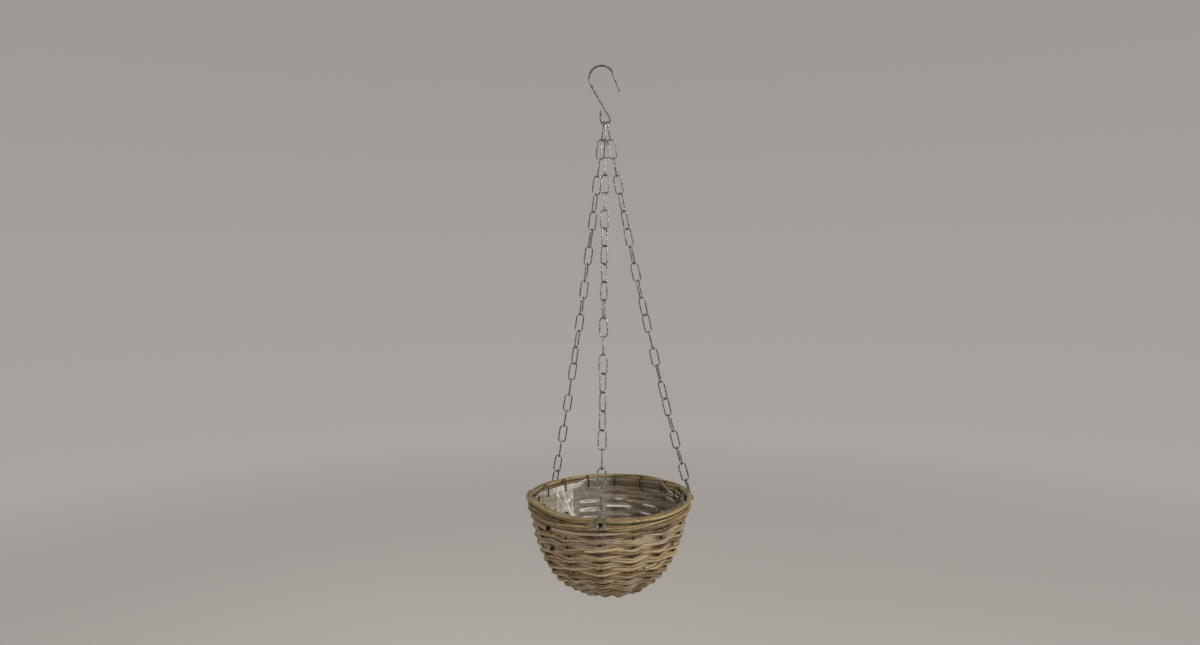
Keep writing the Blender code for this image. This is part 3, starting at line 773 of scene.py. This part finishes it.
def make_rows():
    draw = np.random.default_rng(7)
    rods = []
    for lane in LANES:
        joins = lane_joins(draw)
        for first, last in zip(joins, joins[1:]):
            first = max(WEAVE_START, first - JOIN_REACH)
            last = min(WEAVE_END, last + JOIN_REACH)
            rods.append((lane, first, last, float(draw.uniform(0, 1)), len(rods)))
    for row in range(ROW_COUNT):
        work = Mesh()
        low = float(row * RIB_COUNT) if row else WEAVE_START
        high = min(float((row + 1) * RIB_COUNT), WEAVE_END)
        for lane, first, last, tone, number in rods:
            if last <= low or first >= high:
                continue
            start = max(first, low)
            line = rod_line(lane, start, min(last, high), first, last, number)
            work.sweep(*line, sides=10, square=0.85, tone=tone, edge=0.6, start=number * 0.9 + start * 0.04)
        for own_row, half, tone, stops in CUT_RODS:
            if own_row == row:
                cut_rod(work, half, tone, stops)
        work.finish(f"woven_row_{row + 1:02d}", WOVEN, "basket", [f"weave_row_{row + 1:02d}"])


# The rim: bundles of rods that twist slowly about each other, and draw together at the eyes

RIM_STEPS = 360
# Each rod's tone, and half its thickness and how far it winds up and down in millimetres
UPPER_RODS = ((0.75, 2.9, 1.0), (0.35, 1.7, 2.2), (0.6, 1.5, 2.4))
LOWER_RODS = ((0.4, 2.6, 1.2), (0.75, 1.9, 1.7), (0.25, 1.7, 1.8), (0.9, 1.4, 2.0))
INNER_TONES = (0.5, 0.3)
TURN_WOBBLE = 0.25
RADIUS_WOBBLE = 0.25 * MM
HEIGHT_WOBBLE = 0.4 * MM
SIZE_WOBBLE, FINE_SIZE_WOBBLE = 0.09, 0.05
# How many degrees to each side an eye holds the rods together
EYE_HOLD = 8.0
# The upper bundle's arch at the left of the front: place and spread in degrees, rise and fan in millimetres
ARCH_AZIMUTH = -68.0
ARCH_SPREADS = (32.0, 24.0)
ARCH_RISE = 8.5
ARCH_FAN = 0.8
ARCH_SWELL = 0.35
ARCH_PHASE = 3.7
LOWER_RISE = 3.9


def openness(azimuth):
    """0 where an eye holds the rim's rods together, 1 away from the eyes."""
    return 1 - max(bell(turn_gap(azimuth, CHAINS[name][0]), EYE_HOLD) for name in CHAINS)


def arch(azimuth):
    """1 where the rim's upper bundle stands up highest, with a slit below it, at the left of the front."""
    turn = (azimuth - ARCH_AZIMUTH + 180) % 360 - 180
    return bell(turn, ARCH_SPREADS[turn > 0])


def rim_rod(work, radius, height, reach, turns, phase, half_out, half_up, seed, tone, edge=0.7, shade=0.0,
            swell=0.0):
    """One rod of a rim bundle, which winds turns times round its middle. Only radius is in metres.

    radius, height and reach (out and up) follow how open and how raised the bundle is.
    """
    rows = []
    for step in range(RIM_STEPS):
        azimuth = 360 * step / RIM_STEPS
        loop = math.radians(azimuth)
        angle = phase + turns * loop + TURN_WOBBLE * math.sin(2 * loop + seed)
        wide, raised = openness(azimuth), arch(azimuth)
        reach_out, reach_up = reach(wide, raised)
        r = radius(wide) + reach_out * MM * math.cos(angle) + RADIUS_WOBBLE * math.sin(3 * loop + seed)
        z = RIM_HEIGHT + height(wide, raised) * MM + reach_up * MM * math.sin(angle)
        z += wide * HEIGHT_WOBBLE * math.sin(5 * loop + seed * 0.6)
        grow = 1 + SIZE_WOBBLE * math.sin(4 * loop + seed * 2.1)
        grow += FINE_SIZE_WOBBLE * math.sin(11 * loop + seed)
        grow += swell * raised
        rows.append((compass(azimuth, r, z), compass(azimuth, 1, 0), half_out * MM * grow,
                     half_up * MM * grow))
    work.sweep(*columns(rows), shade, closed=True, sides=10, square=0.85, tone=tone, edge=edge,
               start=seed * 0.3)


def make_rim():
    lower = LOWER_CANE_RADIUS - 0.1 * MM
    upper = LOWER_CANE_RADIUS + UPPER_CANE_STEP - 0.3 * MM
    behind = RIB_RADIUS + RIB_WIRE / 2 + CANE_PLAY
    work = Mesh()
    for number, (tone, half, reach) in enumerate(UPPER_RODS):
        rim_rod(work, lambda wide: upper,
                lambda wide, raised: 4.85 - 0.6 * wide + ARCH_RISE * raised,
                lambda wide, raised: (1.5, reach + 0.5 * wide + ARCH_FAN * raised),
                3, TAU * number / len(UPPER_RODS) + ARCH_PHASE, half, half, number + 1, tone,
                swell=ARCH_SWELL)
    work.finish("rim_upper_rods", RIM, "basket", ["rim_cane_upper"])
    work = Mesh()
    for number, (tone, half, reach) in enumerate(LOWER_RODS):
        rim_rod(work, lambda wide: lower,
                lambda wide, raised: -5.4 - 0.8 * wide + LOWER_RISE * raised,
                lambda wide, raised: (1.6, reach + 1.1 * wide + ARCH_FAN * raised),
                3, TAU * number / len(LOWER_RODS) + 0.2, half, half, number + 4, tone)
    # Two thin rods fill the rim behind: one between the bundles, one above the first woven row
    # The rod between the bundles is painted dark, as shade for the slit under the arch
    rim_rod(work, lambda wide: behind + 1.3 * MM,
            lambda wide, raised: 2.2 - 2.0 * wide + 5 * raised,
            lambda wide, raised: (0.2, 0.3),
            2, 0.4, 1.1, 2.0, 13, tone=0.05, edge=1.0, shade=1.0, swell=0.4)
    rim_rod(work, lambda wide: behind + (3.0 - 1.5 * wide) * MM,
            lambda wide, raised: -7.0 - 4.0 * wide,
            lambda wide, raised: (0.2, 0.4),
            3, 1.9, 1.4, 1.6, 14, tone=0.55, edge=0.9)
    work.finish("rim_lower_rods", RIM, "basket", ["rim_cane_lower"])
    work = Mesh()
    for number, tone in enumerate(INNER_TONES):
        rim_rod(work, lambda wide: INNER_CANE_RADIUS,
                lambda wide, raised: INNER_CANE_HEIGHT / MM,
                lambda wide, raised: (1.2, 1.35),
                3, math.pi * number + 0.7, 1.5, 1.6, number + 8, tone)
    work.finish("rim_inner_rods", RIM, "basket", ["rim_cane_inner"])


# The base: rods woven round and round under the ribs' feet

BASE_RINGS = 9
BASE_STEPS = 90
BASE_WAVE = 0.9 * MM
BASE_ROD_HALVES = (1.85 * MM, 1.7 * MM)


def make_base():
    low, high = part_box("base_pad")
    middle = (low.z + high.z) / 2
    work = Mesh()
    draw = np.random.default_rng(21)
    for ring in range(BASE_RINGS):
        radius = high.x * (ring + 0.7) / (BASE_RINGS + 0.1)
        rows = []
        for step in range(BASE_STEPS):
            azimuth = 360 * step / BASE_STEPS
            z = middle + BASE_WAVE * math.cos(math.radians(azimuth) * RIB_COUNT + math.pi * ring)
            rows.append((compass(azimuth, radius, z), compass(azimuth, 1, 0), *BASE_ROD_HALVES))
        work.sweep(*columns(rows), closed=True, sides=8, square=0.8, tone=float(draw.uniform(0, 1)),
                   edge=0.8, start=ring * 0.4)
    work.finish("base_weave", WOVEN, "basket", ["base_pad"])


# The liner: clear film that is folded over the inner cane, and lies over the inside of the weave. At the
# left of the back its edge has slipped down and is folded double, and below that it is hazy and pleated.

LINER_AROUND = 480
# The film's parts from its edge to its floor: the share of each part's way that is meshed, and its levels
LINER_PARTS = (("fold", 1, 6), ("rim", 1, 13), ("wall", 1, 128), ("floor", 0.97, 12))
# How far the film sinks between two rods
FILM_SINK = 2.6 * MM
# The film's way over the inner cane, in millimetres out from the liner's line and up from the rim's middle
RIM_PATH = ((5.75, 3.2), (5.0, 4.1), (3.6, 4.6), (2.0, 4.6),
            (0.8, 4.1), (0.1, 3.1), (0.0, 1.5), (0.0, -9.0))
# The folded edge, plain and where it has slipped, and how high the two slipped edges lie
FOLD_GAP = 0.4 * MM
PLAIN_FOLD = 1.2 * MM
HEM_FOLD = 8.0 * MM
HEM_TOP = 0.6 * MM
SLIP_TOP = -2.2 * MM
HEM_FROM, HEM_RISE, HEM_TO = -166.0, -128.0, -72.0
HAZE_FROM, HAZE_TO = -147.0, -70.0
# Beside the haze, towards the back, the film is a little dull
DULL = (-186, -140)
# Pleats: azimuth at the hem and lower down, how many millimetres down each runs, and how strong it is
PLEATS = ((-131, -129, 32, 1.0), (-136, -142.5, 44, 1.0), (-147.5, -145, 42, 0.35), (-118, -121, 30, 0.3),
          (-110, -109, 26, 0.25), (-156, -162, 24, 0.3), (-70, -74, 30, 0.5), (60, 63, 26, 0.35),
          (14, 10, 30, 0.4))
PLEAT_TOP = 7.7 * MM
# Painted gleams along rods, with the film pushed in: two azimuths, millimetres down the wall, and how
# strongly
PAINTED_GLEAMS = ((157, 184, 38.5, 0.8), (165, 177, 27, 0.95), (132, 150, 32, 0.9), (136, 151, 46, 0.9),
             (107, 124, 11.5, 0.7), (137, 144, 19, 0.6), (154, 182, 52.5, 0.2), (196, 206, 30, 0.25),
             (40, 58, 34, 0.4), (-30, -8, 40, 0.4), (-60, -46, 28, 0.35), (84, 98, 44, 0.35))
GLEAM_WIDTH = 1.5 * MM
# At the right of the back the film has slipped off the inner cane, with a painted white highlight along its
# edge
WHITE_RIM = (86, 132)
WHITE_SOFT = 15.0
RIM_GLEAM_WIDTH = 2.2 * MM
# The film's haze where it is plain, what dull and folded film adds, and how milky dull film is
PLAIN_HAZE = 0.36
DULL_HAZE = 0.16
HEM_HAZE = 0.28
DULL_MILK = 0.4
# Crumples and fine creases: scale, seed, millimetres inward and how many more in haze, whiteness and how
# much more in haze, and the sharpness from which they show white
CREASES = ((30.0, 1.0, 0.35, 1.9, 0.05, 0.22, 0.6), (80.0, 5.0, 0.12, 0.5, 0.1, 0.12, 0.75))
PLEAT_HALF_WIDTH = 1.1
PLEAT_WHITE = 0.42
PLEAT_PUSH = 1.6 * MM
GLEAM_PUSH = 0.5 * MM


def ridged(point, scale, seed):
    """Sharp creases in a noise field, from 0 to 1."""
    value = noise.noise(Vector(point) * scale + Vector((seed, seed * 1.7, seed * 0.3)))
    return max(0.0, 1 - abs(value) * 4.5)


def between(start, end, azimuth, soft):
    """1 between two azimuths, and falling to 0 over a few degrees at each."""
    return smooth_step(0.0, soft, (end - start) / 2 - turn_gap(azimuth, (start + end) / 2))


# How many degrees the ribs lie from the one where the weave starts
RIB_TURNS = [RIB_AZIMUTHS[START_RIB] - rib_azimuth(START_RIB - n) for n in range(RIB_COUNT + 1)]


def weave_side(azimuth, distance):
    """Which side of the wall the rods lie on: 1 outside, -1 inside."""
    n = float(np.interp((RIB_AZIMUTHS[START_RIB] - azimuth) % 360, RIB_TURNS, range(RIB_COUNT + 1)))
    rows = (distance - FIRST_ROW) / ROW_PITCH - row_step(n)
    return math.cos(math.pi * n) * math.cos(math.pi * rows)


def hem_share(azimuth):
    """1 where the film's edge has slipped down and is folded, at the left of the back."""
    return smooth_step(HEM_FROM, HEM_FROM + 14, azimuth) * (1 - smooth_step(HEM_RISE, HEM_TO, azimuth))


def film_over_cane():
    """Distance along the film's way over the inner cane, with radius, height, and the outward direction."""
    way = np.array(RIM_PATH) * MM + (LINER_RADIUS - FILM / 2, RIM_HEIGHT)
    lengths = np.linalg.norm(np.diff(way, axis=0), axis=1)
    along = np.concatenate(([0.0], np.cumsum(lengths)))
    turns = np.gradient(way, along, axis=0)
    turns /= np.linalg.norm(turns, axis=1)[:, None]
    return along, way[:, 0], way[:, 1], -turns[:, 1], turns[:, 0]


def film_point(kind, share, hem, slip, azimuth, way):
    """A place on the film: radius, height, the outward direction's two parts, distance, and depth inside.

    The distance is from the film's edge along the fold and the rim, and from the rim along the wall.
    """
    if kind in ("fold", "rim"):
        along = way[0]
        inside = along[-2] + way[2][-2] - RIM_HEIGHT
        edge = max(hem * (inside - HEM_TOP), slip * (inside - SLIP_TOP))
        fold = PLAIN_FOLD + (HEM_FOLD - PLAIN_FOLD) * hem
        from_edge = fold * (1 - share) if kind == "fold" else (along[-1] - edge) * share
        r, z, out, up = (float(np.interp(edge + from_edge, along, column)) for column in way[1:])
        return r, z, out, up, from_edge, (FOLD_GAP if kind == "fold" else 0.0)
    if kind == "wall":
        distance = FIRST_ROW + (LAST_ROW - FIRST_ROW) * share
        r, z, out, up = on_wall(distance)
        blend = smooth_step(0.0, 0.12, share)
        r, z = r - out * LINER_INSET + fuller(azimuth, distance), z - up * LINER_INSET
        r = r * blend + (LINER_RADIUS - FILM / 2) * (1 - blend)
        z = z * blend + (RIM_HEIGHT - RIB_LEG_DROP - distance + FIRST_ROW) * (1 - blend)
        return r, z, out, up, distance, 0.0
    r, z, out, up = on_wall(LAST_ROW)
    return (r - out * LINER_INSET) * (1 - share), z - up * LINER_INSET, 0.0, -1.0, 0.0, 0.0


def film_looks(kind, share, azimuth, point, z, distance, hem, slip):
    """How far the film stands inward, how creased it is with painted highlights, how hazy, and how milky.
    """
    depth = RIM_HEIGHT + 3.4 * MM - z
    # Below the ribs' legs the film is loose
    loose = 0.2 + 0.8 * smooth_step(10 * MM, 17 * MM, RIM_HEIGHT - z)
    left = smooth_step(HAZE_FROM - 0.8, HAZE_FROM + 0.8, azimuth) * (1 - smooth_step(-85, HAZE_TO, azimuth))
    fade = smooth_step(0.0, 6 * MM, depth)
    dull = between(*DULL, azimuth, 9.0)
    push, crease_and_gleam, haze, milk = 0.0, 0.0, PLAIN_HAZE + DULL_HAZE * dull, max(left, DULL_MILK * dull)
    if kind == "wall":
        bulge = ((1 - weave_side(azimuth, distance)) / 2) ** 1.4
        tight = smooth_step(0.02, 0.14, share) * (1 - 0.75 * left)
        push -= FILM_SINK * (1 - bulge) * tight
        # Over the rods' bulges the film is whiter and less clear, partly as a painted highlight
        crease_and_gleam += 0.16 * tight * max(0.0, bulge - 0.45)
        # Painted highlights: white lines along rods, where the film also stands a little further inward
        for start, end, down, strength in PAINTED_GLEAMS:
            line = between(start, end, azimuth, 5.0) * bell(distance - down * MM, GLEAM_WIDTH)
            crease_and_gleam += strength * line
            push += GLEAM_PUSH * line
    for scale, seed, inward, hazy_inward, white, hazy_white, sharp in CREASES:
        ridge = ridged(point, scale, seed)
        push += (inward + hazy_inward * left) * MM * ridge * fade * loose
        crease_and_gleam += (white + hazy_white * left) * max(0.0, ridge - sharp) / (1 - sharp)
    for high_azimuth, low_azimuth, run, strength in PLEATS:
        along = (depth - PLEAT_TOP) / (run * MM)
        if kind == "floor" or along > 1.4:
            continue
        gap = turn_gap(azimuth, high_azimuth + (low_azimuth - high_azimuth) * along)
        line = bell(gap, PLEAT_HALF_WIDTH) * strength * fade * (1 - smooth_step(0.9, 1.4, along))
        crease_and_gleam += PLEAT_WHITE * line
        push += PLEAT_PUSH * line * loose
    if kind == "fold":
        haze += HEM_HAZE * hem
        milk = max(milk, hem)
        crease_and_gleam += 0.2 if share == 0.0 or share == 1.0 else 0.05 * hem
    if kind in ("fold", "rim"):
        # A painted highlight along the slipped edge
        crease_and_gleam += slip * bell(distance, RIM_GLEAM_WIDTH)
    haze += (0.02 + 0.16 * (1 - smooth_step(-138, -128, azimuth))) * left
    return push, min(1.0, crease_and_gleam), haze, milk


def make_liner():
    # Each part but the first starts with the last level of the part before it
    levels = [(kind, share) for kind, reach, count in LINER_PARTS
              for share in np.linspace(0, reach, count)[0 if kind == "fold" else 1:]]
    way = film_over_cane()
    verts, marks = [], {"crease_and_gleam": [], "haze": [], "milk": []}
    for kind, share in levels:
        for step in range(LINER_AROUND):
            azimuth = 360 * step / LINER_AROUND - 180
            hem, slip = hem_share(azimuth), between(*WHITE_RIM, azimuth, WHITE_SOFT)
            r, z, out, up, distance, inside = film_point(kind, share, hem, slip, azimuth, way)
            point = compass(azimuth, r, z)
            push, *looks = film_looks(kind, share, azimuth, point, z, distance, hem, slip)
            verts.append(tuple(point - compass(azimuth, out, up) * (push + inside)))
            for values, look in zip(marks.values(), looks):
                values.append(look)
    faces = []
    for level in range(len(levels) - 1):
        a, b = level * LINER_AROUND, (level + 1) * LINER_AROUND
        for step in range(LINER_AROUND):
            k = (step + 1) % LINER_AROUND
            faces.append((a + step, b + step, b + k, a + k))
    last = (len(levels) - 1) * LINER_AROUND
    faces.append(tuple(last + step for step in reversed(range(LINER_AROUND))))
    mesh = bpy.data.meshes.new("film_liner")
    mesh.from_pydata(verts, [], faces)
    set_marks(mesh, marks)
    mesh.materials.append(CLEAR)
    mesh.shade_smooth()
    place("film_liner", mesh, "basket", ["liner"])


# The room: a pale floor, soft lamps and the world around

FLOOR_HEIGHT = -1.45
FLOOR_HALF = 6.0
WORLD_LIGHT = 0.5
# Name, place, the point it faces, size and power
LAMPS = (("key", (1.5, -1.3, 1.0), (0, 0, -0.6), 1.1, 52.0),
         ("fill", (-0.8, -1.75, 0.1), (0, 0, -0.65), 0.7, 6.0),
         ("back", (-1.2, 1.4, 0.5), (0, 0, -0.6), 1.0, 11.0))


def make_floor():
    s = Shader("floor", 0.9, Base_Color=srgb(190, 185, 179))
    where = s.node("TexCoord").outputs["Object"]
    far = s.node("VectorMath", {0: where}, operation="LENGTH").outputs["Value"]
    s.set("Alpha", s.ramp(s.math("DIVIDE", far, FLOOR_HALF), (0.2, 1.0), (0.7, 0.0)))
    mesh = bpy.data.meshes.new("floor")
    corners = [(x * FLOOR_HALF, y * FLOOR_HALF, 0) for x, y in ((-1, -1), (1, -1), (1, 1), (-1, 1))]
    mesh.from_pydata(corners, [], [(0, 1, 2, 3)])
    mesh.materials.append(s.material)
    floor = add("floor", mesh)
    floor.location = (0, 0, FLOOR_HEIGHT)


def make_world():
    """An even pale light. Camera, glossy and transmission rays see a grey backdrop instead."""
    world = bpy.data.worlds.new("room")
    bpy.context.scene.world = world
    world.use_nodes = True
    world.node_tree.nodes.clear()
    s = Tree(world.node_tree)
    light = s.node("Background", {"Color": srgb(238, 237, 235), "Strength": WORLD_LIGHT})
    up = s.node("SeparateXYZ", {"Vector": s.node("TexCoord").outputs["Generated"]}).outputs["Z"]
    height = s.node("Math", {0: up, 1: 0.5, 2: 0.5}, operation="MULTIPLY_ADD").outputs["Value"]
    # Painted light: the backdrop is lighter towards the bottom
    backdrop = s.ramp(height, (0.30, srgb(172, 168, 162)), (0.62, srgb(159, 154, 150)))
    seen = s.node("Background", {"Color": backdrop})
    rays = s.node("LightPath").outputs
    ray = rays["Is Camera Ray"]
    for kind in ("Is Glossy Ray", "Is Transmission Ray"):
        ray = s.math("MAXIMUM", ray, rays[kind])
    shaders = {"Fac": ray, 1: light.outputs["Background"], 2: seen.outputs["Background"]}
    mixed = s.node("MixShader", shaders)
    s.node("OutputWorld", {"Surface": mixed.outputs["Shader"]})


def make_room():
    make_floor()
    make_world()
    for name, spot, target, size, power in LAMPS:
        lamp = bpy.data.lights.new(name, "AREA")
        lamp.size, lamp.energy = size, power
        item = add(name, lamp)
        item.location = spot
        item.rotation_euler = (Vector(target) - Vector(spot)).to_track_quat("-Z", "Y").to_euler()


# The camera, worked out from the photograph: its focal length in pixels, and its place and turn

IMAGE_WIDTH = 1200
FOCAL_PIXELS = 795.4
CENTRE_COLUMN = 599.5
CAMERA_PLACE = (-0.0118, -1.1928, -0.3005)
CAMERA_PITCH = 3.66
CAMERA_ROLL = -0.62


def make_camera():
    data = bpy.data.cameras.new("camera")
    data.sensor_fit = "HORIZONTAL"
    data.lens = FOCAL_PIXELS / IMAGE_WIDTH * data.sensor_width
    data.shift_x = (IMAGE_WIDTH / 2 - CENTRE_COLUMN) / IMAGE_WIDTH
    data.clip_start, data.clip_end = 0.01, 100
    item = add("camera", data)
    turn = Matrix.Rotation(math.radians(90 - CAMERA_PITCH), 4, "X")
    roll = Matrix.Rotation(math.radians(CAMERA_ROLL), 4, "Z")
    item.matrix_world = Matrix.Translation(CAMERA_PLACE) @ turn @ roll
    bpy.context.scene.camera = item


make_camera()
make_room()
make_hook()
for chain in CHAINS:
    make_chain(chain)
    make_eye(chain)
make_ribs()
make_rows()
make_rim()
make_base()
make_liner()
bpy.context.scene.view_settings.view_transform = "Standard"

bpy.context.view_layer.update()
